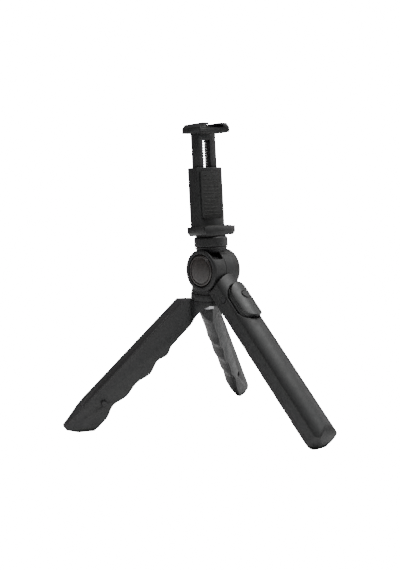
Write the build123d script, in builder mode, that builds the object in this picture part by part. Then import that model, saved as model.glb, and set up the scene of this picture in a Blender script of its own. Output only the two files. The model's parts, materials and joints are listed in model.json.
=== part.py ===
# Phone grip that opens into a table tripod: a front leg that is also the handle, two rear legs that
# swing on one king pin, a tilting head, a swivelling phone clamp with a cold shoe, and a remote.
# Millimetres, +Z up, the floor at Z = 0. The front leg and the screen side of the clamp face -Y.
from build123d import *
from math import cos, pi, radians, sin, sqrt
import os

os.makedirs("parts", exist_ok=True)

# Whole object
hub_y = 28.0  # the head stands this far behind the middle of the footprint
fit = 0.4  # running room between pieces that move past each other
wall = 2.2  # moulded wall

# Tilting head
drum_height = 127.6  # tilt axis above the floor
drum_radius = 17.5
knuckle_radius = 16.9
drum_left = -14.0
drum_right = 16.5
drum_split = -1.1  # the gap between the two halves of the drum
lean = 4.0  # the head leans back
swivel = -4.7  # the clamp is turned this much on the head
neck_front_stop = 54.0  # ends of the slot that the neck sweeps, from straight up
neck_back_stop = 130.0

# Front leg, which is the handle
splay = 44.1  # from straight down
leg_width = 24.0
leg_inner = 81.8  # inner face, measured square to the leg from the foot of the head's axis
leg_side = 12.2  # depth of the flat sides
leg_crown = 7.0  # the outer face rises this much more
leg_top = -78.0  # along the leg
leg_end = 80.8
foot_pad = 2.4  # rubber under each foot

# Rear legs
king_y = 6.0  # king pin behind the head's axis
king_height = 100.0
king_lean = 1.44
left_swing = 113.6  # turned back from under the front leg
right_swing = 115.5
rear_thick = 17.2
rear_width = 19.4
barrel_radius = 13.8
barrel_top = 2.1  # heights along the king pin, from its reference height
ring_low = 2.5
ring_top = 7.7
yoke_low = 8.1

# Phone clamp
jaw_width = 32.0
jaw_front = -12.8
jaw_depth = 23.2
seat_height = 36.2  # the phone's lower edge above the tilt axis
phone_gap = 75.1  # the clamp stands open by this much
jaw_height = 8.0
phone_back = -4.3
sleeve_top = 84.0
shoe_width = 18.8
shoe_gap = 12.6

# Remote
remote_length = 34.0
remote_width = 20.0
remote_middle = -49.5  # along the leg
remote_low = 94.9
remote_top = 104.4
button_middle = -53.4
button_radius = 3.6

# Frames of reference
side = Plane(origin=(0, hub_y, 0), x_dir=(0, -1, 0), z_dir=(-1, 0, 0))  # forward and up
drum = Plane(origin=(0, hub_y, drum_height), x_dir=(0, 1, 0), z_dir=(1, 0, 0))  # back and up
head = Plane(
    origin=(0, hub_y, drum_height),
    x_dir=(1, 0, 0),
    z_dir=(0, sin(radians(lean)), cos(radians(lean))),
)
turn = radians(swivel)
clamp = Plane(
    origin=head.origin,
    x_dir=head.x_dir * cos(turn) + head.y_dir * sin(turn),
    z_dir=head.z_dir,
)
clamp_front = Plane(origin=clamp.origin, x_dir=clamp.x_dir, z_dir=-clamp.y_dir)
king = Plane(
    origin=(0, hub_y + king_y, king_height),
    x_dir=(1, 0, 0),
    z_dir=(0, -sin(radians(king_lean)), cos(radians(king_lean))),
)
# A leg's plane: X across, Y out from the inner face, Z down along the leg.
front_leg = Plane(
    origin=(0, hub_y, 0),
    x_dir=(1, 0, 0),
    z_dir=(0, -sin(radians(splay)), -cos(radians(splay))),
)


def swung(plane, angle):
    """The plane turned about the king pin, as a rear leg is."""
    pin = Axis((0, 0, 0), king.z_dir)
    origin = king.origin + (plane.origin - king.origin).rotate(pin, angle)
    return Plane(
        origin=origin,
        x_dir=plane.x_dir.rotate(pin, angle),
        z_dir=plane.z_dir.rotate(pin, angle),
    )


def lengthwise(plane, across=0.0):
    """The plane that shows a leg from its side: X along the leg, Y out from its inner face."""
    origin = plane.origin + plane.x_dir * across
    return Plane(origin=origin, x_dir=plane.z_dir, z_dir=-plane.x_dir)


def save(part, name):
    part.label = name
    export_step(part, f"parts/{name}.step")


# Tilting head --------------------------------------------------------------------------------

front_pin = (-59.5, 91.0)  # along the front leg, and out from the head's axis
bolt_radius = 3.0
cap_radius = 12.8
cap_recess = 2.2
lug_half = 8.0
lug_top = 92.9
rivet_radius = 1.5
pin_radius = 3.0
flange_radius = 5.2
flange_low = yoke_low + 0.8
flange_thick = 1.0
foot_rise = 5.2
head_profile = Plane(origin=head.origin, x_dir=head.x_dir, z_dir=-head.y_dir)  # across and up


def leg_point(along, out):
    """Forward and up, in the side plane, of a place in the front leg's lengthwise plane."""
    tilt = radians(splay)
    return (
        along * sin(tilt) + out * cos(tilt),
        -along * cos(tilt) + out * sin(tilt),
    )


def drum_sector(start):
    """A plane that holds the tilt axis, with its Y at this angle from straight back."""
    tilt = radians(start)
    radial = Vector(0, cos(tilt), sin(tilt))
    return Plane(
        origin=drum.origin, x_dir=(1, 0, 0), z_dir=Vector(1, 0, 0).cross(radial)
    )


# The round foot under the drum, cut back from the front leg's inner face.
with BuildPart() as yoke_foot:
    with BuildSketch(king.offset(yoke_low)):
        Circle(barrel_radius - 0.2)
    extrude(amount=foot_rise, taper=9)
    with BuildSketch(lengthwise(front_leg, 0)):
        with Locations((-60, leg_inner - fit + 10)):
            Rectangle(60, 20)
    extrude(amount=40, both=True, mode=Mode.SUBTRACT)

with BuildPart() as yoke:
    with BuildSketch(drum.offset(drum_left)):
        Circle(drum_radius)
    extrude(amount=drum_split - fit - drum_left)
    fillet(
        yoke.edges().filter_by(GeomType.CIRCLE).sort_by(Axis.X)[0], radius=1.6
    )
    add(yoke_foot.part)
    # The lug that carries the front leg.
    with BuildSketch(side):
        Polygon(
            (-3.0, 109.0),
            (9.2, 109.0),
            leg_point(-61.0, 83.5),
            leg_point(-55.6, 85.5),
            leg_point(-55.6, lug_top),
            leg_point(-70.5, lug_top),
            (6.0, 111.8),
            (-3.0, 111.8),
            align=None,
        )
    extrude(amount=lug_half, both=True)
    # Room for the other half of the drum.
    with BuildSketch(drum.offset(drum_split - fit)):
        Circle(knuckle_radius + fit)
    extrude(amount=60, mode=Mode.SUBTRACT)
    # The slot that the neck sweeps.
    with BuildSketch(drum_sector(90 - neck_back_stop)):
        Polygon(
            (drum_split, 13.7),
            (-11.4, 13.7),
            (-11.4, 14.8),
            (-13.7, 18.2),
            (drum_split, 18.2),
            align=None,
        )
    revolve(
        axis=Axis(drum.origin, (1, 0, 0)),
        revolution_arc=neck_back_stop + neck_front_stop,
        mode=Mode.SUBTRACT,
    )
    # Seat of the cap, pocket of the bolt's head, and the bolt's bore.
    with BuildSketch(drum.offset(drum_left)):
        Circle(cap_radius + 0.75)
    extrude(amount=cap_recess, mode=Mode.SUBTRACT)
    with BuildSketch(drum.offset(drum_left)):
        Circle(6.0)
    extrude(amount=6.2, mode=Mode.SUBTRACT)
    with BuildSketch(drum.offset(drum_left)):
        Circle(bolt_radius + 0.1)
    extrude(amount=30, mode=Mode.SUBTRACT)
    # The king pin's flange is moulded in.
    with BuildSketch(king.offset(flange_low)):
        Circle(flange_radius)
    extrude(amount=flange_thick, mode=Mode.SUBTRACT)
    with BuildSketch(king.offset(yoke_low - 1)):
        Circle(pin_radius)
    extrude(amount=1 + flange_low - yoke_low, mode=Mode.SUBTRACT)
    # Cross hole for the front leg's pin.
    with BuildSketch(side.offset(-lug_half - 1)):
        with Locations(leg_point(*front_pin)):
            Circle(rivet_radius)
    extrude(amount=2 * lug_half + 2, mode=Mode.SUBTRACT)
save(yoke.part, "yoke")

with BuildPart() as tilt_cap:
    with BuildSketch(drum.offset(drum_left - 0.5)):
        Circle(cap_radius)
    extrude(amount=cap_recess + 0.5)
    fillet(tilt_cap.edges().filter_by(GeomType.CIRCLE).sort_by(Axis.X)[0], radius=1.2)
save(tilt_cap.part, "tilt_cap")

neck_low = 14.4
neck_top = 18.8
neck_radius = 13.8
nut_pocket = 5.0
with BuildPart() as tilt_knuckle:
    with BuildSketch(drum.offset(drum_split + fit - 0.1)):
        Circle(knuckle_radius)
    extrude(amount=drum_right - drum_split - fit + 0.1)
    fillet(
        tilt_knuckle.edges().filter_by(GeomType.CIRCLE).sort_by(Axis.X)[-1], radius=1.8
    )
    # The web that rises to the neck, and the coned plate under the lock wheel.
    with BuildSketch(head):
        with Locations(((drum_split + fit + 13.2) / 2, 0)):
            Rectangle(13.2 - drum_split - fit, 19.0)
    extrude(amount=neck_low + 1)
    with BuildSketch(head_profile):
        Polygon(
            (0, neck_low),
            (neck_radius - 3.2, neck_low),
            (neck_radius, neck_top),
            (0, neck_top),
            align=None,
        )
    revolve(axis=Axis(head.origin, head.z_dir))
    with BuildSketch(drum.offset(drum_right)):
        Circle(cap_radius - 1.0)
    extrude(amount=-2.0, mode=Mode.SUBTRACT)
    with BuildSketch(drum.offset(drum_right)):
        RegularPolygon(radius=5.4, side_count=6)
    extrude(amount=-2.0 - nut_pocket, mode=Mode.SUBTRACT)
    with BuildSketch(drum.offset(drum_right)):
        Circle(bolt_radius + 0.1)
    extrude(amount=-30, mode=Mode.SUBTRACT)
    with BuildSketch(head.offset(neck_low + 0.2)):
        Circle(2.95)
    extrude(amount=12, mode=Mode.SUBTRACT)
save(tilt_knuckle.part, "tilt_knuckle")

with BuildPart() as knuckle_cap:
    with BuildSketch(drum.offset(drum_right - 1.9)):
        Circle(cap_radius - 1.2)
    extrude(amount=1.7)
    fillet(
        knuckle_cap.edges().filter_by(GeomType.CIRCLE).sort_by(Axis.X)[-1], radius=0.8
    )
save(knuckle_cap.part, "knuckle_cap")

with BuildPart() as tilt_bolt:
    with BuildSketch(drum.offset(drum_left + 2.6)):
        Circle(5.2)
    extrude(amount=3.4)
    with BuildSketch(drum.offset(drum_left + 2.6)):
        RegularPolygon(radius=2.5, side_count=6)
    extrude(amount=2.2, mode=Mode.SUBTRACT)
    with BuildSketch(drum.offset(drum_left + 6.0)):
        Circle(bolt_radius)
    extrude(amount=drum_right - 3.0 - drum_left - 6.0)
save(tilt_bolt.part, "tilt_bolt")

with BuildPart() as tilt_nut:
    with BuildSketch(drum.offset(drum_right - 6.8)):
        RegularPolygon(radius=5.2, side_count=6)
        Circle(bolt_radius + 0.02, mode=Mode.SUBTRACT)
    extrude(amount=4.4)
save(tilt_nut.part, "tilt_nut")

with BuildPart() as friction_disc:
    with BuildSketch(drum.offset(drum_split - 0.33)):
        Circle(11.0)
        Circle(bolt_radius + 0.3, mode=Mode.SUBTRACT)
    extrude(amount=0.56)
save(friction_disc.part, "friction_disc")

# Quarter-inch stud of the neck, with the lock wheel and the clamp on it.
stud_radius = 3.175
wheel_low = 19.1
wheel_top = 27.3
with BuildPart() as neck_stud:
    with BuildSketch(head.offset(neck_low + 0.2)):
        Circle(2.95)
    extrude(amount=neck_top + 0.1 - neck_low - 0.2)
    with BuildSketch(head.offset(neck_top + 0.1)):
        Circle(stud_radius)
    extrude(amount=15.3)
    chamfer(neck_stud.edges().filter_by(GeomType.CIRCLE).sort_by(Axis.Z)[-1], length=0.6)
save(neck_stud.part, "neck_stud")

with BuildPart() as lock_wheel:
    with BuildSketch(head.offset(wheel_low)):
        Circle(neck_radius)
    extrude(amount=wheel_top - wheel_low)
    wheel_edges = lock_wheel.edges().filter_by(GeomType.CIRCLE).sort_by(Axis.Z)
    fillet(wheel_edges[-1], radius=1.6)
    fillet(wheel_edges[0], radius=0.3)
    with BuildSketch(head.offset(wheel_low - 1)):
        Circle(stud_radius + 0.08)
    extrude(amount=12, mode=Mode.SUBTRACT)
save(lock_wheel.part, "lock_wheel")

with BuildPart() as wheel_washer:
    with BuildSketch(head.offset(wheel_top + 0.1)):
        Circle(12.6)
        Circle(stud_radius + 0.3, mode=Mode.SUBTRACT)
    extrude(amount=0.6)
save(wheel_washer.part, "wheel_washer")


# Phone clamp ---------------------------------------------------------------------------------

jaw_low = seat_height - jaw_height  # underside of the lower jaw
jaw_middle = jaw_front + jaw_depth / 2
seat = seat_height - 0.5  # the hard face under a pad
upper_seat = seat_height + phone_gap
jaw_chamfer = 2.6
pad_depth = 8.6
sleeve_front = phone_back + 1.3
sleeve_back = 9.2
sleeve_half = 13.2
slide_half = 10.2
slide_low = 57.0
spring_radius = 2.9
spring_wire = 0.55
spring_middle = (sleeve_front + sleeve_back) / 2


def groove_band(height):
    """Cutter for a shallow groove down both sides of a jaw, just behind its front face."""
    with BuildSketch(clamp_front.offset(-jaw_front - 1.0)) as band:
        with Locations((-jaw_width / 2, height), (jaw_width / 2, height)):
            Rectangle(0.8, 20)
    return extrude(band.sketch, amount=-0.5)


with BuildPart() as clamp_body:
    with BuildSketch(clamp.offset(jaw_low)):
        with Locations((0, jaw_middle)):
            Rectangle(jaw_width, jaw_depth)
    extrude(amount=seat - jaw_low)
    low_edges = (
        clamp_body.faces()
        .sort_by(Axis(head.origin, head.z_dir))[0]
        .edges()
        .filter_by(lambda edge: abs(edge.tangent_at(0.5).dot(clamp.y_dir)) > 0.9)
    )
    chamfer(low_edges, length=jaw_chamfer)
    with BuildSketch(clamp.offset(seat - 1)):
        with Locations((0, (sleeve_front + sleeve_back) / 2)):
            Rectangle(2 * sleeve_half, sleeve_back - sleeve_front)
    extrude(amount=sleeve_top - seat + 1)
    fillet(
        clamp_body.faces()
        .sort_by(Axis(head.origin, head.z_dir))[-1]
        .edges(),
        radius=0.8,
    )
    add(groove_band((jaw_low + seat) / 2), mode=Mode.SUBTRACT)
    # The slide's channel, open behind for the cover.
    with BuildSketch(clamp.offset(seat + 1.5)):
        with Locations((0, (sleeve_front + 2 + sleeve_back) / 2)):
            Rectangle(2 * slide_half + 2 * fit, sleeve_back - sleeve_front - 2 + 1)
    extrude(amount=sleeve_top, mode=Mode.SUBTRACT)
    with BuildSketch(clamp.offset(seat + 1.5)):
        with Locations((0, sleeve_back - 1)):
            Rectangle(2 * slide_half + 4, 4)
    extrude(amount=sleeve_top, mode=Mode.SUBTRACT)
    # Seats of the lower pad and the back pad.
    with BuildSketch(clamp.offset(seat)):
        with Locations((0, jaw_front + 1.0 + pad_depth / 2 - 0.4)):
            Rectangle(26.6, pad_depth - 0.6)
    extrude(amount=-0.8, mode=Mode.SUBTRACT)
    # Socket of the threaded insert.
    with BuildSketch(clamp.offset(jaw_low - 1)):
        Circle(4.6)
    extrude(amount=7.4, mode=Mode.SUBTRACT)
save(clamp_body.part, "clamp_body")

with BuildPart() as thread_insert:
    with BuildSketch(clamp.offset(jaw_low + 0.1)):
        Circle(4.55)
        Circle(stud_radius + 0.02, mode=Mode.SUBTRACT)
    extrude(amount=6.2)
save(thread_insert.part, "thread_insert")

with BuildPart() as lower_pad:
    with BuildSketch(clamp.offset(seat - 0.75)):
        with Locations((0, jaw_front + 1.0 + pad_depth / 2 - 0.4)):
            Rectangle(26.4, pad_depth - 0.8)
    extrude(amount=seat_height - seat + 0.75)
save(lower_pad.part, "lower_pad")

with BuildPart() as back_pad:
    with BuildSketch(clamp_front.offset(-sleeve_front)):
        with Locations((0, (seat_height + 6 + sleeve_top - 3) / 2)):
            RectangleRounded(22, sleeve_top - 9 - seat_height, 2.5)
    extrude(amount=sleeve_front - phone_back)
save(back_pad.part, "back_pad")

with BuildPart() as clamp_cover:
    with BuildSketch(clamp_front.offset(-sleeve_back)):
        with Locations((0, (seat + 1.8 + sleeve_top - 0.4) / 2)):
            Rectangle(2 * slide_half + 3.4, sleeve_top - 0.4 - seat - 1.8)
    extrude(amount=1.9)
    with BuildSketch(clamp_front.offset(-sleeve_back)):
        with Locations((0, (seat + sleeve_top) / 2)):
            RectangleRounded(14, 34, 2)
            RectangleRounded(12.4, 32.4, 1.4, mode=Mode.SUBTRACT)
    extrude(amount=0.4, mode=Mode.SUBTRACT)
save(clamp_cover.part, "clamp_cover")

with BuildPart() as upper_jaw:
    with BuildSketch(clamp.offset(upper_seat + 0.5)):
        with Locations((0, jaw_middle + 0.4)):
            Rectangle(jaw_width - 0.6, jaw_depth - 0.2)
    extrude(amount=jaw_height - 0.5)
    top_edges = (
        upper_jaw.faces()
        .sort_by(Axis(head.origin, head.z_dir))[-1]
        .edges()
        .filter_by(lambda edge: abs(edge.tangent_at(0.5).dot(clamp.y_dir)) > 0.9)
    )
    chamfer(top_edges, length=3.4, length2=2.9)
    add(groove_band(upper_seat + jaw_height / 2), mode=Mode.SUBTRACT)
    # Two lines across the front face.
    with BuildSketch(clamp_front.offset(-jaw_front + 1)):
        with Locations((0, upper_seat + 2.0), (0, upper_seat + 3.4)):
            Rectangle(jaw_width - 4, 0.45)
    extrude(amount=-1.9, mode=Mode.SUBTRACT)
    # The cold shoe, open at both ends.
    with BuildSketch(clamp_front.offset(20)):
        with Locations((0, upper_seat + jaw_height - 2.7)):
            Rectangle(shoe_width, 2.1)
        with Locations((0, upper_seat + jaw_height)):
            Rectangle(shoe_gap, 4)
    extrude(amount=-50, mode=Mode.SUBTRACT)
    # The slide: two prongs beside the spring.
    with BuildSketch(clamp.offset(slide_low)):
        with Locations((0, spring_middle)):
            Rectangle(2 * slide_half, sleeve_back - sleeve_front - 5.0)
    extrude(amount=upper_seat + 1.0 - slide_low)
    with BuildSketch(clamp.offset(slide_low)):
        with Locations((0, spring_middle)):
            Rectangle(2 * spring_radius + 1.6, 20)
    extrude(amount=upper_seat - 5.0 - slide_low, mode=Mode.SUBTRACT)
    with BuildSketch(clamp.offset(upper_seat + 0.5)):
        with Locations((0, jaw_front + 1.0 + pad_depth / 2)):
            Rectangle(26.6, pad_depth - 0.6)
    extrude(amount=0.8, mode=Mode.SUBTRACT)
save(upper_jaw.part, "upper_jaw")

with BuildPart() as upper_pad:
    with BuildSketch(clamp.offset(upper_seat)):
        with Locations((0, jaw_front + 1.0 + pad_depth / 2)):
            Rectangle(26.4, pad_depth - 0.8)
    extrude(amount=1.25)
save(upper_pad.part, "upper_pad")

with BuildPart() as clamp_spring:
    with BuildSketch(clamp.offset(seat + 1.8)):
        with Locations((0, spring_middle)):
            Circle(spring_radius)
            Circle(spring_radius - spring_wire, mode=Mode.SUBTRACT)
    extrude(amount=upper_seat - 5.3 - seat - 1.8)
save(clamp_spring.part, "clamp_spring")


# King pin ------------------------------------------------------------------------------------

disc_low = -1.2  # underside of the left leg's disc, along the king axis
nut_top = -1.9
bore_radius = pin_radius + 0.08
with BuildPart() as king_pin:
    with BuildSketch(king.offset(flange_low)):
        Circle(flange_radius)
    extrude(amount=flange_thick)
    with BuildSketch(king.offset(nut_top - 3.6)):
        Circle(pin_radius)
    extrude(amount=flange_low - nut_top + 3.6)
save(king_pin.part, "king_pin")

with BuildPart() as king_nut:
    with BuildSketch(king.offset(nut_top - 3.0)):
        RegularPolygon(radius=5.6, side_count=6)
        Circle(pin_radius + 0.02, mode=Mode.SUBTRACT)
    extrude(amount=3.0 - 0.6)
save(king_nut.part, "king_nut")

with BuildPart() as king_washer:
    with BuildSketch(king.offset(nut_top - 0.6)):
        Circle(6.0)
        Circle(pin_radius + 0.05, mode=Mode.SUBTRACT)
    extrude(amount=0.6)
save(king_washer.part, "king_washer")


# Front leg -----------------------------------------------------------------------------------


def facing(plane, out):
    """A plane across a leg's outward direction: X along the leg, Y across it."""
    return Plane(
        origin=plane.origin + plane.y_dir * out, x_dir=plane.z_dir, z_dir=plane.y_dir
    )


leg_half = leg_width / 2
crown_radius = 13.8
crown_centre = leg_inner + leg_side + leg_crown - crown_radius
cover_thick = 2.0
cover_half = 9.4
cover_start = -54.0
cover_end = 68.0
pocket_floor = 94.5
remote_centre = (remote_middle, 0)
leg_screws = (-20.0, 24.0, 62.0)
screw_shank = 0.95
screw_head = 1.9
screw_length = 6.0


def crowned_section(half, low, radius):
    """Half of a leg section: flat sides and an arc over the top, drawn across the leg."""
    shoulder = crown_centre + sqrt(radius**2 - half**2)
    with BuildSketch(Plane.XY) as section:
        with BuildLine():
            Polyline((half, shoulder), (half, low), (-half, low), (-half, shoulder))
            ThreePointArc(
                (-half, shoulder), (0, crown_centre + radius), (half, shoulder)
            )
        make_face()
    return section.sketch


with BuildPart() as front_solid:
    with BuildSketch(front_leg.offset(leg_top - 6)):
        add(crowned_section(leg_half, leg_inner, crown_radius))
    extrude(amount=leg_end + 10 - leg_top)
    with BuildSketch(lengthwise(front_leg, 0)):
        with BuildLine():
            Polyline(
                (62.0, 102.0),
                (leg_top - 10, 102.0),
                (leg_top - 10, leg_inner - 1),
                (leg_end, leg_inner - 1),
                (leg_end, 87.6),
            )
            ThreePointArc((leg_end, 87.6), (77.2, 96.8), (67.0, 101.3))
            Line((67.0, 101.3), (62.0, 102.0))
        make_face()
    extrude(amount=30, both=True, mode=Mode.INTERSECT)
    # Rounded corners of the lower end, seen from outside.
    with BuildSketch(facing(front_leg, leg_inner - 5)):
        with Locations(((leg_end + leg_top) / 2 - 5, 0)):
            RectangleRounded(leg_end - leg_top + 10, leg_width + 0.6, 8.6)
    extrude(amount=40, mode=Mode.INTERSECT)
    with BuildSketch(drum.offset(-40)):
        Circle(drum_radius + 0.8)
    extrude(amount=80, mode=Mode.SUBTRACT)
    with BuildSketch(Plane.XY):
        Rectangle(400, 400)
    extrude(amount=-60, mode=Mode.SUBTRACT)

with BuildPart() as front_leg_shell:
    add(front_solid.part)
    with BuildSketch(Plane.XY):
        Rectangle(400, 400)
    extrude(amount=foot_pad, mode=Mode.SUBTRACT)
    # Hollow of the lower length, and the shallower one under the remote.
    with BuildSketch(front_leg.offset(-28.0)):
        add(crowned_section(leg_half - wall, leg_inner - 1, crown_radius - wall))
    extrude(amount=28.0 + cover_end - 0.2, mode=Mode.SUBTRACT)
    with BuildSketch(lengthwise(front_leg, 0)):
        with Locations(((leg_top - 5 - 27.0) / 2, (leg_inner - 1 + lug_top + fit) / 2)):
            Rectangle(leg_top * -1 + 5 - 27.0, lug_top + fit - leg_inner + 1)
    extrude(amount=lug_half + fit, both=True, mode=Mode.SUBTRACT)
    with BuildSketch(lengthwise(front_leg, 0)):
        with Locations(((cover_start + cover_end) / 2, leg_inner)):
            Rectangle(cover_end - cover_start, 2 * (cover_thick + 0.2))
    extrude(amount=cover_half + 0.15, both=True, mode=Mode.SUBTRACT)
    # Posts for the cover's screws.
    with BuildSketch(facing(front_leg, leg_inner + cover_thick + 0.25)):
        with Locations(*[(place, 0) for place in leg_screws]):
            Circle(2.4)
    extrude(amount=16.0)
    with BuildSketch(facing(front_leg, leg_inner)):
        with Locations(*[(place, 0) for place in leg_screws]):
            Circle(screw_shank)
    extrude(amount=screw_length + 1.0, mode=Mode.SUBTRACT)
    # The remote's pocket.
    with BuildSketch(facing(front_leg, pocket_floor)):
        with Locations(remote_centre):
            SlotOverall(remote_length + 1.2, remote_width + 1.2)
    extrude(amount=20, mode=Mode.SUBTRACT)
    # The rivet's hole and head seats, and the small marks of the flat sides.
    with BuildSketch(lengthwise(front_leg, 0)):
        with Locations(front_pin):
            Circle(rivet_radius)
    extrude(amount=20, both=True, mode=Mode.SUBTRACT)
    for flank in (-leg_half, leg_half):
        with BuildSketch(lengthwise(front_leg, flank)):
            with Locations(front_pin):
                Circle(3.0)
        extrude(amount=0.9, both=True, mode=Mode.SUBTRACT)
        with BuildSketch(lengthwise(front_leg, flank)):
            with Locations((-69.5, 86.0)):
                RectangleRounded(3.2, 1.6, 0.6)
            with Locations((66.8, 86.5)):
                Circle(1.0)
        extrude(amount=0.4, both=True, mode=Mode.SUBTRACT)
save(front_leg_shell.part, "front_leg")

with BuildPart() as front_foot:
    add(front_solid.part)
    with BuildSketch(Plane.XY.offset(foot_pad)):
        Rectangle(400, 400)
    extrude(amount=300, mode=Mode.SUBTRACT)
save(front_foot.part, "front_foot_pad")

with BuildPart() as front_leg_cover:
    with BuildSketch(facing(front_leg, leg_inner + 0.1)):
        with Locations(((cover_start + cover_end) / 2, 0)):
            Rectangle(cover_end - cover_start - 0.3, 2 * cover_half)
    extrude(amount=cover_thick)
    with BuildSketch(facing(front_leg, leg_inner)):
        with Locations(*[(place, 0) for place in leg_screws]):
            Circle(screw_shank + 0.15)
    extrude(amount=4, mode=Mode.SUBTRACT)
    with BuildSketch(facing(front_leg, leg_inner)):
        with Locations(*[(place, 0) for place in leg_screws]):
            Circle(screw_head + 0.15)
    extrude(amount=1.3, mode=Mode.SUBTRACT)
    with BuildSketch(facing(front_leg, leg_inner + 3)):
        with Locations(((cover_start - 61.5) / 2 + 1.6, 0)):
            Rectangle(cover_start + 61.5 + 4, 2 * lug_half + 1)
    extrude(amount=-4, mode=Mode.SUBTRACT)
save(front_leg_cover.part, "front_leg_cover")

with BuildPart() as front_rivet:
    with BuildSketch(lengthwise(front_leg, 0)):
        with Locations(front_pin):
            Circle(rivet_radius)
    extrude(amount=leg_half - 0.8, both=True)
    for flank in (-leg_half + 0.6, leg_half - 0.6):
        with BuildSketch(lengthwise(front_leg, flank)):
            with Locations(front_pin):
                Circle(2.5)
        extrude(amount=0.3, both=True)
save(front_rivet.part, "front_leg_rivet")


screw_places = [(place, 0) for place in leg_screws]
with BuildPart() as front_leg_screws:
    with BuildSketch(facing(front_leg, leg_inner + 0.2)):
        with Locations(*screw_places):
            Circle(screw_head)
    extrude(amount=1.1)
    with BuildSketch(facing(front_leg, leg_inner + 1.3)):
        with Locations(*screw_places):
            Circle(screw_shank - 0.02)
    extrude(amount=screw_length - 1.1)
    with BuildSketch(facing(front_leg, leg_inner + 0.2)):
        with Locations(*screw_places):
            Rectangle(2.2, 0.5)
            Rectangle(0.5, 2.2)
    extrude(amount=0.6, mode=Mode.SUBTRACT)
save(front_leg_screws.part, "front_leg_screws")


# Remote --------------------------------------------------------------------------------------

remote_split = 98.2
remote_crown = 13.6
with BuildPart() as remote_base:
    with BuildSketch(facing(front_leg, remote_low)):
        with Locations(remote_centre):
            SlotOverall(remote_length, remote_width)
    extrude(amount=remote_split - 0.05 - remote_low)
    with BuildSketch(facing(front_leg, remote_low + 1.0)):
        with Locations((remote_middle - 2, 0)):
            Circle(8.2)
    extrude(amount=10, mode=Mode.SUBTRACT)
save(remote_base.part, "remote_base")

with BuildPart() as remote_cell:
    with BuildSketch(facing(front_leg, remote_low + 1.1)):
        with Locations((remote_middle - 2, 0)):
            Circle(8.0)
    extrude(amount=1.6)
save(remote_cell.part, "remote_cell")

with BuildPart() as remote_cover:
    with BuildSketch(facing(front_leg, remote_split)):
        with Locations(remote_centre):
            SlotOverall(remote_length, remote_width)
    extrude(amount=8)
    with BuildSketch(front_leg.offset(remote_middle)):
        with Locations((0, remote_top - remote_crown)):
            Circle(remote_crown)
    extrude(amount=30, both=True, mode=Mode.INTERSECT)
    with BuildSketch(facing(front_leg, remote_split)):
        with Locations(remote_centre):
            SlotOverall(remote_length - 2.8, remote_width - 2.8)
    extrude(amount=1.4, mode=Mode.SUBTRACT)
    with BuildSketch(facing(front_leg, remote_split)):
        with Locations((button_middle, 0)):
            Circle(4.9)
    extrude(amount=4.3, mode=Mode.SUBTRACT)
    with BuildSketch(facing(front_leg, remote_split)):
        with Locations((button_middle, 0)):
            Circle(button_radius + 0.1)
    extrude(amount=20, mode=Mode.SUBTRACT)
save(remote_cover.part, "remote_cover")

with BuildPart() as remote_board:
    with BuildSketch(facing(front_leg, remote_split + 0.1)):
        with Locations(remote_centre):
            SlotOverall(remote_length - 3.4, remote_width - 3.4)
    extrude(amount=1.0)
save(remote_board.part, "remote_board")

with BuildPart() as remote_switch:
    with BuildSketch(facing(front_leg, remote_split + 1.1)):
        with Locations((button_middle, 0)):
            Rectangle(5.0, 5.0)
    extrude(amount=0.8)
    with BuildSketch(facing(front_leg, remote_split + 1.9)):
        with Locations((button_middle, 0)):
            Circle(1.5)
    extrude(amount=0.4)
save(remote_switch.part, "remote_switch")

with BuildPart() as remote_button:
    with BuildSketch(facing(front_leg, remote_split + 3.4)):
        with Locations((button_middle, 0)):
            Circle(4.4)
    extrude(amount=0.7)
    with BuildSketch(facing(front_leg, remote_split + 3.4)):
        with Locations((button_middle, 0)):
            Circle(button_radius - 0.2)
    extrude(amount=remote_top + 0.3 - remote_split - 3.4)
    with BuildSketch(facing(front_leg, remote_split + 3.2)):
        with Locations((button_middle, 0)):
            Circle(1.4)
    extrude(amount=1.0)
save(remote_button.part, "remote_button")


# Rear legs -----------------------------------------------------------------------------------

strip = leg_inner - 0.4  # the flat strip that closes against the front leg
peg_gap = 0.15
peg_radius = 2.0
peg_reach = 2.2
rear_start = -46.0
rear_stop = 56.0
rear_cover = 12.2
mating = (42.05, 10.3)  # along the leg, and below the strip
# Depth of a rear leg below the strip and its thickness, down its length.
swells = (
    (-84.0, rear_width, rear_thick),
    (-56.0, rear_width, rear_thick),
    (-42.0, rear_width, rear_thick),
    (-30.0, 19.6, rear_thick),
    (-22.0, 22.2, rear_thick),
    (-12.5, 19.6, rear_thick),
    (-1.1, 22.6, rear_thick),
    (12.3, 19.4, rear_thick),
    (24.9, 20.9, rear_thick),
    (37.8, 17.9, rear_thick),
    (50.0, 21.5, rear_thick),
    (58.0, 21.5, 15.8),
    (64.0, 21.2, 12.4),
    (71.0, 20.5, 9.5),
    (80.0, 20.0, 7.0),
)


swell_end = 52.0  # no finger swells below this
swell_steps = 4


def eased_swells():
    """The swells with rounded steps between them."""
    rows = [swells[0]]
    for before, after in zip(swells, swells[1:]):
        level = before[1:] == after[1:] or after[0] > swell_end
        count = 1 if level else swell_steps
        for step in range(1, count + 1):
            share = step / count
            ease = (1 - cos(pi * share)) / 2
            place = before[0] + (after[0] - before[0]) * share
            depth = before[1] + (after[1] - before[1]) * ease
            thick = before[2] + (after[2] - before[2]) * ease
            rows.append((place, depth, thick))
    return rows


def swell_section(depth, thick, way):
    """Section of a rear leg, oversize past its two flat faces."""
    with BuildSketch(Plane.XY) as section:
        with BuildLine():
            Line((way * thick, strip + 1), (way * thick, strip))
            EllipticalCenterArc(
                (0, strip),
                thick,
                depth,
                start_angle=-90 if way > 0 else 180,
                arc_size=90,
            )
            Polyline(
                (0, strip - depth),
                (-way, strip - depth),
                (-way, strip + 1),
                (way * thick, strip + 1),
            )
        make_face()
    return section.sketch


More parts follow.
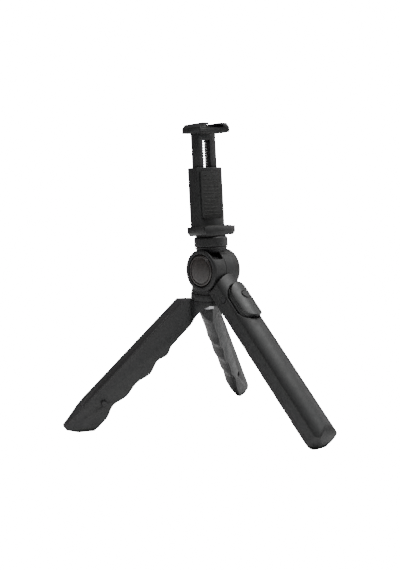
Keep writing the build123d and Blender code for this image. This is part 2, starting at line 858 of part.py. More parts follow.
def rear_solid(plane, way, top):
    """The outside of a rear leg without its upper joint."""
    with BuildPart() as solid:
        for place, depth, thick in eased_swells():
            with BuildSketch(plane.offset(place)):
                add(swell_section(depth, thick, way))
        loft(ruled=True)
        with BuildSketch(lengthwise(plane, 0)):
            with BuildLine():
                Polyline(
                    (76.4, strip),
                    (top[0], strip),
                    (top[1], strip - 24),
                    (58.0, strip - 24),
                    (66.0, strip - 20.8),
                    (68.5, strip - 19.2),
                    (77.6, strip - 3.7),
                )
                ThreePointArc((77.6, strip - 3.7), (77.5, strip - 1.6), (76.4, strip))
            make_face()
        extrude(amount=30, both=True, mode=Mode.INTERSECT)
        with BuildSketch(facing(plane, strip - 40)):
            with Locations((0, way * (peg_gap + 20))):
                Rectangle(300, 40)
        extrude(amount=60, mode=Mode.INTERSECT)
        with BuildSketch(Plane.XY):
            Rectangle(400, 400)
        extrude(amount=-60, mode=Mode.SUBTRACT)
    return solid.part


def hollowed(plane, way):
    """Cutter for the hollow of a rear leg and for its cover's seat."""
    with BuildPart() as cutter:
        with BuildSketch(plane.offset(rear_start)):
            with BuildLine():
                EllipticalCenterArc(
                    (way * wall, strip - 1),
                    rear_thick - 2 * wall - 0.4,
                    14.0,
                    start_angle=-90 if way > 0 else 180,
                    arc_size=90,
                )
                Polyline(
                    (way * wall, strip - 15),
                    (way * wall, strip - 1),
                    (way * (rear_thick - wall - 0.4), strip - 1),
                )
            make_face()
        extrude(amount=rear_stop - rear_start)
        with BuildSketch(facing(plane, strip - cover_thick - 0.1)):
            with Locations(((rear_start + rear_stop) / 2, way * (wall + rear_cover / 2))):
                Rectangle(rear_stop - rear_start, rear_cover + 0.3)
        extrude(amount=10)
    return cutter.part


def rear_foot(outside):
    """The rubber end of a rear leg."""
    with BuildPart() as foot:
        add(outside)
        with BuildSketch(Plane.XY.offset(foot_pad - 0.2)):
            Rectangle(400, 400)
        extrude(amount=300, mode=Mode.SUBTRACT)
    return foot.part


def rear_lid(plane, way):
    """The cover plate of a rear leg."""
    with BuildPart() as lid:
        with BuildSketch(facing(plane, strip - cover_thick)):
            with Locations(((rear_start + rear_stop) / 2, way * (wall + rear_cover / 2))):
                Rectangle(rear_stop - rear_start - 0.3, rear_cover)
        extrude(amount=cover_thick)
    return lid.part


left_plane = swung(front_leg, -left_swing)
right_plane = swung(front_leg, right_swing)
left_solid = rear_solid(left_plane, -1, (-80.0, -70.0))
right_solid = rear_solid(right_plane, 1, (-71.5, -64.0))
lobe_centre = (-4.5, 82.0)  # along the left leg's direction from the king axis, and height
lobe_radius = 18.3
lobe_depth = 16.5
left_way = Vector(left_plane.z_dir.X, left_plane.z_dir.Y, 0).normalized()

with BuildPart() as left_leg:
    add(left_solid)
    with BuildSketch(king.offset(barrel_top)):
        Circle(60)
    extrude(amount=40, mode=Mode.SUBTRACT)
    add(hollowed(left_plane, -1), mode=Mode.SUBTRACT)
    with BuildSketch(king.offset(-40)):
        Circle(barrel_radius - fit)
    extrude(amount=60, mode=Mode.SUBTRACT)
    # The lobe under the disc, arched below.
    with BuildSketch(king.offset(-lobe_depth)):
        Circle(barrel_radius)
    extrude(amount=barrel_top + lobe_depth)
    with BuildSketch(
        Plane(
            origin=Vector(0, hub_y + king_y, lobe_centre[1]) + left_way * lobe_centre[0],
            x_dir=left_way,
            z_dir=left_way.cross(Vector(0, 0, 1)),
        )
    ):
        Circle(lobe_radius)
    extrude(amount=barrel_radius + 4, both=True, mode=Mode.SUBTRACT)
    with BuildSketch(king.offset(disc_low)):
        Circle(barrel_radius)
    extrude(amount=barrel_top - disc_low)
    with BuildSketch(king.offset(disc_low)):
        Circle(6.6)
    extrude(amount=-20, mode=Mode.SUBTRACT)
    with BuildSketch(king.offset(-24)):
        Circle(bore_radius)
    extrude(amount=40, mode=Mode.SUBTRACT)
    # Seat of the peg that meets the other rear leg, and a pin hole near the toe.
    with BuildSketch(lengthwise(left_plane, 0)):
        with Locations((mating[0], strip - mating[1])):
            Circle(peg_radius)
    extrude(amount=1.6, both=True, mode=Mode.SUBTRACT)
    with BuildSketch(Plane.XY):
        Rectangle(400, 400)
    extrude(amount=foot_pad - 0.2, mode=Mode.SUBTRACT)
save(left_leg.part, "left_leg")
save(rear_foot(left_solid), "left_foot_pad")
save(rear_lid(left_plane, -1), "left_leg_cover")

with BuildPart() as mating_peg:
    with BuildSketch(lengthwise(left_plane, -1.6)):
        with Locations((mating[0], strip - mating[1])):
            Circle(peg_radius)
    extrude(amount=-1.6 - peg_reach)
    fillet(
        mating_peg.edges().filter_by(GeomType.CIRCLE).sort_by(Axis.X)[-1], radius=0.6
    )
save(mating_peg.part, "mating_peg")

with BuildPart() as right_leg:
    add(right_solid)
    with BuildSketch(king.offset(ring_top)):
        Circle(60)
    extrude(amount=40, mode=Mode.SUBTRACT)
    add(hollowed(right_plane, 1), mode=Mode.SUBTRACT)
    with BuildSketch(king.offset(ring_low - 40)):
        Circle(barrel_radius + fit)
    extrude(amount=40, mode=Mode.SUBTRACT)
    with BuildSketch(king.offset(ring_low)):
        Circle(barrel_radius)
    extrude(amount=ring_top - ring_low)
    with BuildSketch(king.offset(ring_low - 10)):
        Circle(bore_radius)
    extrude(amount=40, mode=Mode.SUBTRACT)
    with BuildSketch(lengthwise(right_plane, 0)):
        with Locations((mating[0], strip - mating[1])):
            Circle(peg_radius + 0.5)
    extrude(amount=peg_reach + 0.5, both=True, mode=Mode.SUBTRACT)
    with BuildSketch(Plane.XY):
        Rectangle(400, 400)
    extrude(amount=foot_pad - 0.2, mode=Mode.SUBTRACT)
save(right_leg.part, "right_leg")
save(rear_foot(right_solid), "right_foot_pad")
save(rear_lid(right_plane, 1), "right_leg_cover")
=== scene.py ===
import json
import math

import bmesh
import bpy
from mathutils import Matrix, Vector


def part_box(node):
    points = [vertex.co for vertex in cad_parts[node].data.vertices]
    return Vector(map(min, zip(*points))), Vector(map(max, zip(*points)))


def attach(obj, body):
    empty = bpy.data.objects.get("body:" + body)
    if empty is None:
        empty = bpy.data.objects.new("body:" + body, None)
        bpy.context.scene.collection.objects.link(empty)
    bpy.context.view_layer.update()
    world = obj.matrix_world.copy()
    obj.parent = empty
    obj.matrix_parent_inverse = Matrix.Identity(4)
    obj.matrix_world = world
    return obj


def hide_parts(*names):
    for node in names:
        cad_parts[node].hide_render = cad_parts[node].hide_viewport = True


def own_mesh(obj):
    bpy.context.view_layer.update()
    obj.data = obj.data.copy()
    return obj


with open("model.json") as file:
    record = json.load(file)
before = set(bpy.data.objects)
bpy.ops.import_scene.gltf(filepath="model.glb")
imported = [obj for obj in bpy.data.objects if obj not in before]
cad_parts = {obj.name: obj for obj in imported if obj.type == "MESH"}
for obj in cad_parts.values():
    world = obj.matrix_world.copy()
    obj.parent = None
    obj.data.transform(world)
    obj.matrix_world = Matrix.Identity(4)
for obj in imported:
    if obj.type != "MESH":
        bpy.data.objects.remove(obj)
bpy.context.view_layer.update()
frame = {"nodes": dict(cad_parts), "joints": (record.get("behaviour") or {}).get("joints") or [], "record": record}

nodes = frame["nodes"]
joints = {joint["name"]: joint for joint in frame["joints"]}
mm = 0.001

tiltPoint = Vector(joints["head_tilt"]["pos_m"])
headUp = Vector(joints["clamp_swivel"]["axis"]).normalized()
across = Vector((1, 0, 0))


# Finishes, one for each slot of the record.


def linearColour(hexText):
    # sRGB hex to the linear colour that the shaders take
    channels = [int(hexText[i : i + 2], 16) / 255 for i in (1, 3, 5)]
    return tuple(
        c / 12.92 if c <= 0.04045 else ((c + 0.055) / 1.055) ** 2.4 for c in channels
    ) + (1.0,)


def addNode(tree, kind, settings=None, links=None):
    node = tree.nodes.new(kind)
    for key, value in (settings or {}).items():
        if isinstance(key, int) or key in node.inputs:
            node.inputs[key].default_value = value
        else:
            setattr(node, key, value)
    for key, socket in (links or {}).items():
        tree.links.new(socket, node.inputs[key])
    return node


def newFinish(name, **surface):
    # a material with its shader, and the place on the piece for its patterns
    material = bpy.data.materials.new(name)
    material.use_nodes = True
    tree = material.node_tree
    shader = tree.nodes["Principled BSDF"]
    for key, value in surface.items():
        shader.inputs[key].default_value = value
    place = addNode(tree, "ShaderNodeTexCoord").outputs["Object"]
    return material, tree, shader, place


def tonedColour(tree, place, dark, light, patch, edge=None):
    # colour that drifts over patches of this size in mm, and pales on worn edges
    drift = addNode(
        tree, "ShaderNodeTexNoise", {"Scale": 1000 / patch, "Detail": 4.0}, {"Vector": place}
    )
    tone = addNode(tree, "ShaderNodeValToRGB", {}, {"Fac": drift.outputs["Fac"]})
    tone.color_ramp.elements[0].position = 0.3
    tone.color_ramp.elements[0].color = linearColour(dark)
    tone.color_ramp.elements[1].position = 0.7
    tone.color_ramp.elements[1].color = linearColour(light)
    if edge is None:
        return tone.outputs["Color"]
    wear = addNode(tree, "ShaderNodeNewGeometry").outputs["Pointiness"]
    band = addNode(
        tree,
        "ShaderNodeMapRange",
        {"From Min": 0.52, "From Max": 0.6, "To Min": 0.0, "To Max": 0.55},
        {"Value": wear},
    )
    worn = addNode(
        tree, "ShaderNodeMix", {"data_type": "RGBA"}, {"Factor": band.outputs["Result"]}
    )
    tree.links.new(tone.outputs["Color"], worn.inputs[6])
    worn.inputs[7].default_value = linearColour(edge)
    return worn.outputs[2]


def grainBump(tree, place, shader, grain, height, strength):
    # raised grain of this width and height in mm
    grit = addNode(
        tree,
        "ShaderNodeTexNoise",
        {"Scale": 1000 / grain, "Detail": 3.0, "Roughness": 0.6},
        {"Vector": place},
    )
    bump = addNode(
        tree,
        "ShaderNodeBump",
        {"Strength": strength, "Distance": height * mm},
        {"Height": grit.outputs["Fac"]},
    )
    tree.links.new(bump.outputs["Normal"], shader.inputs["Normal"])
    return grit


def roughRange(tree, place, shader, patch, low, high):
    rub = addNode(
        tree, "ShaderNodeTexNoise", {"Scale": 1000 / patch, "Detail": 5.0}, {"Vector": place}
    )
    spread = addNode(
        tree,
        "ShaderNodeMapRange",
        {"From Min": 0.3, "From Max": 0.7, "To Min": low, "To Max": high},
        {"Value": rub.outputs["Fac"]},
    )
    tree.links.new(spread.outputs["Result"], shader.inputs["Roughness"])


def sparkErodedAbs():
    # black ABS from a spark-eroded mould: matte, with an even fine grain and paler edges
    # the real grain is about 0.1 mm; it is drawn 0.45 mm wide so that it shows
    material, tree, shader, place = newFinish("sparkErodedAbs", IOR=1.54)
    colour = tonedColour(tree, place, "#131314", "#19191a", 14, "#2a2a2b")
    tree.links.new(colour, shader.inputs["Base Color"])
    roughRange(tree, place, shader, 6, 0.44, 0.58)
    grainBump(tree, place, shader, 0.45, 0.05, 0.35)
    return material


def satinAbsCover():
    # smooth black ABS of the cover plates, a little glossier, with faint rubbing marks
    material, tree, shader, place = newFinish("satinAbsCover", IOR=1.54)
    colour = tonedColour(tree, place, "#151516", "#1b1b1c", 18, "#2d2d2e")
    tree.links.new(colour, shader.inputs["Base Color"])
    roughRange(tree, place, shader, 4, 0.38, 0.5)
    grainBump(tree, place, shader, 0.8, 0.03, 0.25)
    return material


def polishedPcCap():
    # polished dark polycarbonate disc with a warm tint under a clear gloss
    material, tree, shader, place = newFinish(
        "polishedPcCap", IOR=1.58, **{"Coat Weight": 0.35, "Coat Roughness": 0.12}
    )
    colour = tonedColour(tree, place, "#231d1c", "#2b2422", 9)
    tree.links.new(colour, shader.inputs["Base Color"])
    roughRange(tree, place, shader, 3, 0.3, 0.4)
    grainBump(tree, place, shader, 1.2, 0.004, 0.15)
    return material


def satinAbsRemote():
    # fine satin moulding of the remote, smoother than the handle
    material, tree, shader, place = newFinish("satinAbsRemote", IOR=1.54)
    colour = tonedColour(tree, place, "#161717", "#1c1d1d", 10, "#2e2f2f")
    tree.links.new(colour, shader.inputs["Base Color"])
    roughRange(tree, place, shader, 3, 0.36, 0.48)
    grainBump(tree, place, shader, 0.5, 0.03, 0.25)
    return material


def mouldedTpe():
    # soft black TPE of the pads and feet: dull, dusty in its pores
    material, tree, shader, place = newFinish("mouldedTpe", IOR=1.5)
    colour = tonedColour(tree, place, "#131313", "#1b1b1b", 5, "#2a2a29")
    tree.links.new(colour, shader.inputs["Base Color"])
    roughRange(tree, place, shader, 2, 0.68, 0.86)
    grainBump(tree, place, shader, 0.4, 0.08, 0.4)
    return material


def zincPlatedSteel():
    # zinc-plated steel screws and pins, with turning marks across the metal
    material, tree, shader, place = newFinish("zincPlatedSteel", Metallic=1.0)
    colour = tonedColour(tree, place, "#9a9b9d", "#b9babc", 1.5, "#d2d3d4")
    tree.links.new(colour, shader.inputs["Base Color"])
    roughRange(tree, place, shader, 1, 0.26, 0.42)
    grainBump(tree, place, shader, 0.25, 0.01, 0.3)
    return material


def rivetSteelPaintedShade():
    # steel of the rivet in the handle, coloured near-black as painted shade of the recess it sits in; dull with
    # rubbed high spots
    material, tree, shader, place = newFinish("rivetSteelPaintedShade", Metallic=1.0)
    colour = tonedColour(tree, place, "#1d1d1e", "#2b2b2c", 1.5, "#5c5c5e")
    tree.links.new(colour, shader.inputs["Base Color"])
    roughRange(tree, place, shader, 1, 0.4, 0.55)
    grainBump(tree, place, shader, 0.3, 0.01, 0.3)
    return material


def turnedBrass():
    # turned brass of the threaded insert, warm with a thin tarnish
    material, tree, shader, place = newFinish("turnedBrass", Metallic=1.0)
    colour = tonedColour(tree, place, "#a98443", "#cdb06b", 2, "#e0c98c")
    tree.links.new(colour, shader.inputs["Base Color"])
    roughRange(tree, place, shader, 1, 0.24, 0.4)
    grainBump(tree, place, shader, 0.25, 0.01, 0.3)
    return material


def solderMask():
    # green solder mask over fibreglass, glossy with a faint weave
    material, tree, shader, place = newFinish("solderMask", IOR=1.5)
    colour = tonedColour(tree, place, "#12492a", "#1d6038", 3)
    tree.links.new(colour, shader.inputs["Base Color"])
    roughRange(tree, place, shader, 2, 0.25, 0.4)
    grainBump(tree, place, shader, 0.5, 0.01, 0.3)
    return material


def naturalNylon():
    # unfilled nylon of the friction disc, milky and slightly waxy
    material, tree, shader, place = newFinish("naturalNylon", IOR=1.53)
    colour = tonedColour(tree, place, "#c9c6b8", "#dcd9cd", 4)
    tree.links.new(colour, shader.inputs["Base Color"])
    roughRange(tree, place, shader, 2, 0.35, 0.5)
    grainBump(tree, place, shader, 0.5, 0.02, 0.3)
    return material


finishes = {
    "body_plastic": sparkErodedAbs(),
    "cover_plastic": satinAbsCover(),
    "cap_gloss": polishedPcCap(),
    "remote_plastic": satinAbsRemote(),
    "rubber": mouldedTpe(),
    "steel": zincPlatedSteel(),
    "cell_steel": zincPlatedSteel(),
    "brass": turnedBrass(),
    "board": solderMask(),
    "switch": satinAbsRemote(),
    "nylon": naturalNylon(),
}
slotOf = {part["node"]: part["material_slot"] for part in frame["record"]["subparts"]}
bodyOf = {
    name: body
    for body, members in frame["record"]["behaviour"]["bodies"].items()
    for name in members
}
for name, thing in nodes.items():
    thing.data.materials.clear()
    thing.data.materials.append(finishes[slotOf[name]])
# the rivet's near-black steel is painted shade of the recess it sits in
nodes["front_leg_rivet"].data.materials[0] = rivetSteelPaintedShade()
print("finishes made")


# Pieces made from the CAD nodes' own shape.


def newPiece(name, mesh):
    thing = bpy.data.objects.new(name, mesh)
    bpy.context.scene.collection.objects.link(thing)
    return thing


def joinedCopy(*names):
    # the CAD nodes' own shape, their loose triangles joined up
    mesh = bpy.data.meshes.new(names[0])
    work = bmesh.new()
    for name in names:
        work.from_mesh(nodes[name].data)
    bmesh.ops.remove_doubles(work, verts=work.verts, dist=2e-6)
    work.to_mesh(mesh)
    work.free()
    return mesh


def plainMesh(thing):
    # what the modifiers make of the piece, as its own plain mesh
    bpy.context.view_layer.update()
    seen = thing.evaluated_get(bpy.context.evaluated_depsgraph_get())
    mesh = bpy.data.meshes.new_from_object(seen)
    thing.modifiers.clear()
    thing.data = mesh
    return thing


def standIn(thing, *names, finish=None):
    # the piece takes these nodes' place, body and finish
    body = bodyOf[names[0]]
    slot = slotOf[names[0]]
    thing.data.materials.clear()
    thing.data.materials.append(finish or finishes[slot])
    for face in thing.data.polygons:
        face.material_index = 0
    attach(thing, body)
    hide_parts(*names)
    return thing


def moulded(names, pieceName, grid, passes):
    # rounds every edge of a node, or of a node and its welded lid, as a moulding has them; grid in mm
    thing = newPiece(pieceName, joinedCopy(*names))
    skin = thing.modifiers.new("skin", "REMESH")
    skin.mode = "VOXEL"
    skin.voxel_size = grid * mm
    skin.use_smooth_shade = True
    ease = thing.modifiers.new("ease", "SMOOTH")
    ease.factor = 0.5
    ease.iterations = passes
    plainMesh(thing)
    for face in thing.data.polygons:
        face.use_smooth = True
    return standIn(thing, *names)


def brokenEdges(name, pieceName, width, segments=3):
    # keeps a node's flat faces and rounds its edges by this width in mm
    thing = newPiece(pieceName, joinedCopy(name))
    work = bmesh.new()
    work.from_mesh(thing.data)
    bmesh.ops.dissolve_limit(
        work, angle_limit=math.radians(1), verts=work.verts, edges=work.edges
    )
    work.to_mesh(thing.data)
    work.free()
    rim = thing.modifiers.new("rim", "BEVEL")
    rim.width = width * mm
    rim.segments = segments
    rim.limit_method = "ANGLE"
    rim.angle_limit = math.radians(28)
    rim.use_clamp_overlap = True
    rim.harden_normals = True
    plainMesh(thing)
    for face in thing.data.polygons:
        face.use_smooth = True
    thing.data.set_sharp_from_angle(angle=math.radians(32))
    return standIn(thing, name)


def turned(pieceName, profile, origin, axis, steps=128):
    # a closed lathe form; the profile is (along, radius) in mm from one pole to the other
    axis = axis.normalized()
    side = axis.orthogonal().normalized()
    work = bmesh.new()
    rings = []
    for along, radius in profile:
        centre = origin + axis * along * mm
        if radius == 0:
            rings.append([work.verts.new(centre)])
            continue
        rings.append(
            [
                work.verts.new(
                    centre
                    + Matrix.Rotation(2 * math.pi * i / steps, 3, axis) @ side * radius * mm
                )
                for i in range(steps)
            ]
        )
    for low, high in zip(rings, rings[1:]):
        for i in range(steps):
            j = (i + 1) % steps
            if len(low) == 1:
                work.faces.new((low[0], high[i], high[j]))
            elif len(high) == 1:
                work.faces.new((low[i], high[0], low[j]))
            else:
                work.faces.new((low[i], high[i], high[j], low[j]))
    bmesh.ops.recalc_face_normals(work, faces=work.faces)
    mesh = bpy.data.meshes.new(pieceName)
    work.to_mesh(mesh)
    work.free()
    thing = newPiece(pieceName, mesh)
    for face in mesh.polygons:
        face.use_smooth = True
    mesh.set_sharp_from_angle(angle=math.radians(50))
    return thing


def arcPoints(centre, radius, start, stop, count):
    # points of an arc in a profile, angles in degrees
    return [
        (
            centre[0] + radius * math.cos(math.radians(start + (stop - start) * i / count)),
            centre[1] + radius * math.sin(math.radians(start + (stop - start) * i / count)),
        )
        for i in range(count + 1)
    ]


# The tilting drum and its two caps.

drumLook = {
    "grid": 0.4,
    "passes": 6,
    "capRadius": 12.7,
    "capRim": 0.9,
    "capDisc": 10.4,
    "capGroove": 0.7,
    "capDome": 0.45,
    "capSteps": 8,
}
moulded(["yoke"], "drumYoke", drumLook["grid"], drumLook["passes"])
moulded(["tilt_knuckle"], "drumKnuckle", drumLook["grid"], drumLook["passes"])


def capProfile(look, depth):
    # a rounded rim, a groove and a shallow dome, from the back face to the front pole
    rim, disc, groove = look["capRim"], look["capDisc"], look["capGroove"]
    edge = [(depth, 0), (depth, look["capRadius"])]
    edge += arcPoints((rim, look["capRadius"] - rim), rim, 90, 180, look["capSteps"])
    edge += [(0.05, disc + 0.75), (groove, disc + 0.5), (groove, disc + 0.2)]
    edge += arcPoints((groove - 0.15, disc - 0.35), 0.35, 60, 180, 4)
    top = edge[-1][0]
    dome = []
    for i in range(1, look["capSteps"] + 1):
        share = 1 - i / look["capSteps"]
        dome.append((top - look["capDome"] * (1 - share**2), (disc - 0.35) * share))
    return edge + dome


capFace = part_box("tilt_cap")[0].x
capLook = turned(
    "drumCap",
    capProfile(drumLook, 2.2),
    Vector((capFace + 0.3 * mm, tiltPoint.y, tiltPoint.z)),
    across,
)
standIn(capLook, "tilt_cap")
brokenEdges("knuckle_cap", "knuckleCap", 0.3)
print("drum done")


# The lock wheel on the neck.

wheelLook = {
    "radius": 13.8,
    "low": 19.1,
    "top": 27.3,
    "topRound": 1.7,
    "lowRound": 0.7,
    "bore": 3.26,
}


def wheelProfile(look):
    low, top, radius = look["low"], look["top"], look["radius"]
    points = [(low, look["bore"]), (low, radius - look["lowRound"])]
    points += arcPoints(
        (low + look["lowRound"], radius - look["lowRound"]), look["lowRound"], 180, 90, 6
    )
    points += arcPoints(
        (top - look["topRound"], radius - look["topRound"]), look["topRound"], 90, 0, 10
    )
    return points + [(top, look["bore"]), (low, look["bore"])]


wheelPiece = turned("lockWheel", wheelProfile(wheelLook), tiltPoint, headUp)
work = bmesh.new()
work.from_mesh(wheelPiece.data)
bmesh.ops.remove_doubles(work, verts=work.verts, dist=1e-6)
bmesh.ops.recalc_face_normals(work, faces=work.faces)
work.to_mesh(wheelPiece.data)
work.free()
standIn(wheelPiece, "lock_wheel")
print("lock wheel done")


# The three legs.

legLook = {"grid": 0.5, "passes": 8, "edge": 0.6}
moulded(["front_leg"], "handleShell", legLook["grid"], legLook["passes"])
for way in ("left", "right"):
    brokenEdges(way + "_leg", way + "LegShell", legLook["edge"])
    brokenEdges(way + "_leg_cover", way + "LegPlate", 0.2)
for name in ("front_foot_pad", "left_foot_pad", "right_foot_pad"):
    moulded([name], name.replace("_foot_pad", "Foot"), 0.3, 4)
brokenEdges("front_leg_cover", "handleCover", 0.25)
print("legs done")


# The remote.

moulded(["remote_cover"], "remoteTop", 0.3, 6)
brokenEdges("remote_base", "remoteTray", 0.3)
moulded(["remote_button"], "remoteButton", 0.2, 4)
print("remote done")


# The clamp and its jaw.

jawLook = {"edge": 0.45}
brokenEdges("clamp_body", "clampSleeve", jawLook["edge"])
brokenEdges("upper_jaw", "clampJaw", jawLook["edge"])
brokenEdges("clamp_cover", "clampBack", 0.3)
print("clamp done")


# Ribs of the pads and the coil of the spring.


def newTree(name, sizes):
    # a geometry tree with named size inputs
    tree = bpy.data.node_groups.new(name, "GeometryNodeTree")
    kinds = {int: "NodeSocketInt", float: "NodeSocketFloat"}
    for label, value in sizes.items():
        tree.interface.new_socket(label, in_out="INPUT", socket_type=kinds[type(value)])
    tree.interface.new_socket("Finish", in_out="INPUT", socket_type="NodeSocketMaterial")
    tree.interface.new_socket("Geometry", in_out="OUTPUT", socket_type="NodeSocketGeometry")
    return tree, addNode(tree, "NodeGroupInput").outputs, addNode(tree, "NodeGroupOutput")


def grown(pieceName, tree, sizes, finish, place):
    # runs the tree once and keeps the result as a plain mesh, put in its place
    thing = newPiece(pieceName, bpy.data.meshes.new(pieceName))
    grow = thing.modifiers.new("grow", "NODES")
    grow.node_group = tree
    for item in tree.interface.items_tree:
        if item.in_out == "INPUT":
            grow[item.identifier] = finish if item.name == "Finish" else sizes[item.name]
    plainMesh(thing)
    thing.data.transform(place)
    for face in thing.data.polygons:
        face.use_smooth = True
    return thing


def ribTree(sizes):
    # round ribs side by side: each lies along X, and they follow each other along Y
    tree, given, out = newTree("padRibs", sizes)
    half = addNode(
        tree, "ShaderNodeMath", {"operation": "MULTIPLY", 1: 0.5}, {0: given["Length"]}
    )
    back = addNode(
        tree, "ShaderNodeMath", {"operation": "MULTIPLY", 1: -0.5}, {0: given["Length"]}
    )
    start = addNode(tree, "ShaderNodeCombineXYZ", {}, {"X": back.outputs[0]})
    end = addNode(tree, "ShaderNodeCombineXYZ", {}, {"X": half.outputs[0]})
    line = addNode(
        tree,
        "GeometryNodeCurvePrimitiveLine",
        {},
        {"Start": start.outputs[0], "End": end.outputs[0]},
    )
    ring = addNode(
        tree, "GeometryNodeCurvePrimitiveCircle", {"Resolution": 12}, {"Radius": given["Radius"]}
    )
    rib = addNode(
        tree,
        "GeometryNodeCurveToMesh",
        {"Fill Caps": True},
        {"Curve": line.outputs[0], "Profile Curve": ring.outputs[0]},
    )
    step = addNode(tree, "ShaderNodeCombineXYZ", {}, {"Y": given["Pitch"]})
    row = addNode(
        tree,
        "GeometryNodeMeshLine",
        {},
        {"Count": given["Count"], "Offset": step.outputs[0]},
    )
    ribs = addNode(
        tree,
        "GeometryNodeInstanceOnPoints",
        {},
        {"Points": row.outputs[0], "Instance": rib.outputs[0]},
    )
    real = addNode(tree, "GeometryNodeRealizeInstances", {}, {"Geometry": ribs.outputs[0]})
    done = addNode(
        tree,
        "GeometryNodeSetMaterial",
        {},
        {"Geometry": real.outputs[0], "Material": given["Finish"]},
    )
    tree.links.new(done.outputs[0], out.inputs[0])
    return tree


def coilTree(sizes):
    # a round wire wound along Z
    tree, given, out = newTree("wireCoil", sizes)
    path = addNode(
        tree,
        "GeometryNodeCurveSpiral",
        {"Resolution": 20},
        {
            "Rotations": given["Turns"],
            "Start Radius": given["Radius"],
            "End Radius": given["Radius"],
            "Height": given["Length"],
        },
    )
    ring = addNode(
        tree, "GeometryNodeCurvePrimitiveCircle", {"Resolution": 10}, {"Radius": given["Wire"]}
    )
    wire = addNode(
        tree,
        "GeometryNodeCurveToMesh",
        {"Fill Caps": True},
        {"Curve": path.outputs[0], "Profile Curve": ring.outputs[0]},
    )
    real = addNode(tree, "GeometryNodeRealizeInstances", {}, {"Geometry": wire.outputs[0]})
    done = addNode(
        tree,
        "GeometryNodeSetMaterial",
        {},
        {"Geometry": real.outputs[0], "Material": given["Finish"]},
    )
    tree.links.new(done.outputs[0], out.inputs[0])
    return tree


clampSet = {
    "swivel": -4.7,
    "seat": 36.2,
    "gap": 75.1,
    "padMiddle": -7.9,
    "springBase": 37.6,
    "springMiddle": 3.1,
}
headBack = headUp.cross(across).normalized()
swivelAngle = math.radians(clampSet["swivel"])
clampRight = across * math.cos(swivelAngle) + headBack * math.sin(swivelAngle)
clampBack = headUp.cross(clampRight).normalized()


def clampPlace(right, back, up, xWay, yWay):
    # matrix of a place in the clamp, sizes in mm, with its X and Y along these ways
    point = tiltPoint + (clampRight * right + clampBack * back + headUp * up) * mm
    turn = Matrix((xWay, yWay, xWay.cross(yWay))).transposed().to_4x4()
    return Matrix.Translation(point) @ turn


ribLook = {"Count": 4, "Pitch": 1.7 * mm, "Length": 23 * mm, "Radius": 0.45 * mm}
ribs = ribTree(ribLook)
firstRib = clampSet["padMiddle"] - 1.5 * 1.7
for pieceName, body, lift in (
    ("lowerPadRibs", "clamp", clampSet["seat"] - 0.25),
    ("upperPadRibs", "jaw", clampSet["seat"] + clampSet["gap"] + 0.25),
):
    place = clampPlace(0, firstRib, lift, clampRight, clampBack)
    rows = grown(pieceName, ribs, ribLook, finishes["rubber"], place)
    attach(rows, body)
backRibs = {"Count": 12, "Pitch": 2.9 * mm, "Length": 17 * mm, "Radius": 0.45 * mm}
place = clampPlace(0, -4.1, 45.5, clampRight, headUp)
rows = grown("backPadRibs", ribs, backRibs, finishes["rubber"], place)
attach(rows, "clamp")

springLook = {"Turns": 30.0, "Radius": 2.3 * mm, "Length": 68.0 * mm, "Wire": 0.32 * mm}
place = clampPlace(0, clampSet["springMiddle"], clampSet["springBase"], clampRight, clampBack)
spring = grown("jawSpring", coilTree(springLook), springLook, finishes["steel"], place)
standIn(spring, "clamp_spring")
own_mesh(spring)
for name in ("lower_pad", "upper_pad", "back_pad"):
    brokenEdges(name, name.split("_")[0] + "Pad", 0.3)
print("ribs and spring done")


# Camera, light and floor.

cameraSet = {
    "azimuth": 45.04,
    "elevation": 5.608,
    "distance": 857.8,
    "height": 130.0,
    "roll": -0.12,
}
turnAngle = math.radians(cameraSet["azimuth"])
rise = math.radians(cameraSet["elevation"])
aim = Vector((0, tiltPoint.y, cameraSet["height"] * mm))
back = Vector(
    (-math.sin(turnAngle) * math.cos(rise), -math.cos(turnAngle) * math.cos(rise), math.sin(rise))
)
lens = bpy.data.cameras.new("studioCamera")
lens.lens = 65.96
lens.sensor_width = 36
lens.shift_x = -0.0217
lens.shift_y = -0.0319
cameraPiece = bpy.data.objects.new("studioCamera", lens)
bpy.context.scene.collection.objects.link(cameraPiece)
cameraPiece.matrix_world = (
    Matrix.Translation(aim + back * cameraSet["distance"] * mm)
    @ (-back).to_track_quat("-Z", "Y").to_matrix().to_4x4()
    @ Matrix.Rotation(math.radians(cameraSet["roll"]), 4, "Z")
)
bpy.context.scene.camera = cameraPiece


studio = {"floorGlow": 20.0, "skyLight": 0.14, "skySeen": 24.0}


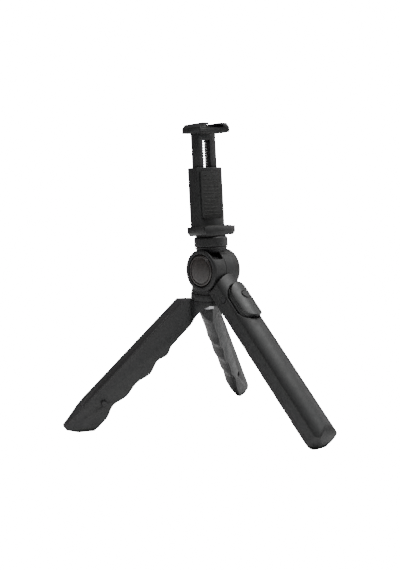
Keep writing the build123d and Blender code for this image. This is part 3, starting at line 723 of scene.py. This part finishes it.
def paleFloor():
    # painted studio floor, nearly white, with a faint roller texture
    material, tree, shader, place = newFinish("paleFloor", IOR=1.45)
    colour = tonedColour(tree, place, "#f4f4f4", "#fafafa", 400)
    tree.links.new(colour, shader.inputs["Base Color"])
    roughRange(tree, place, shader, 200, 0.7, 0.85)
    # a lit table: it glows for the lens and lights the object only softly
    glow = addNode(tree, "ShaderNodeLightPath").outputs["Is Camera Ray"]
    shine = addNode(
        tree, "ShaderNodeMath", {"operation": "MULTIPLY", 1: studio["floorGlow"]}, {0: glow}
    )
    shader.inputs["Emission Color"].default_value = (1, 1, 1, 1)
    tree.links.new(shine.outputs["Value"], shader.inputs["Emission Strength"])
    return material


floorMesh = bpy.data.meshes.new("floor")
reach = 6.0
floorMesh.from_pydata(
    [(-reach, -reach, 0), (reach, -reach, 0), (reach, reach, 0), (-reach, reach, 0)],
    [],
    [(0, 1, 2, 3)],
)
floorPiece = newPiece("floor", floorMesh)
floorMesh.materials.append(paleFloor())


def softBox(name, place, size, power):
    lamp = bpy.data.lights.new(name, "AREA")
    lamp.shape = "RECTANGLE"
    lamp.size = size[0]
    lamp.size_y = size[1]
    lamp.energy = power
    thing = bpy.data.objects.new(name, lamp)
    bpy.context.scene.collection.objects.link(thing)
    thing.location = place
    thing.rotation_mode = "QUATERNION"
    thing.rotation_quaternion = (aim - Vector(place)).to_track_quat("-Z", "Y")


softBox("overheadBox", (0.1, -0.1, 1.5), (1.3, 1.3), 34)
softBox("rightBox", (1.3, -0.5, 0.7), (0.8, 1.1), 7)
softBox("leftBox", (-1.2, -0.9, 0.8), (0.7, 1.0), 1.4)
world = bpy.data.worlds.new("studioWhite")
bpy.context.scene.world = world
world.use_nodes = True
backdrop = world.node_tree.nodes["Background"]
backdrop.inputs["Color"].default_value = (1, 1, 1, 1)
seen = addNode(world.node_tree, "ShaderNodeLightPath").outputs["Is Camera Ray"]
level = addNode(
    world.node_tree,
    "ShaderNodeMapRange",
    {"To Min": studio["skyLight"], "To Max": studio["skySeen"]},
    {"Value": seen},
)
world.node_tree.links.new(level.outputs["Result"], backdrop.inputs["Strength"])
print("studio done")
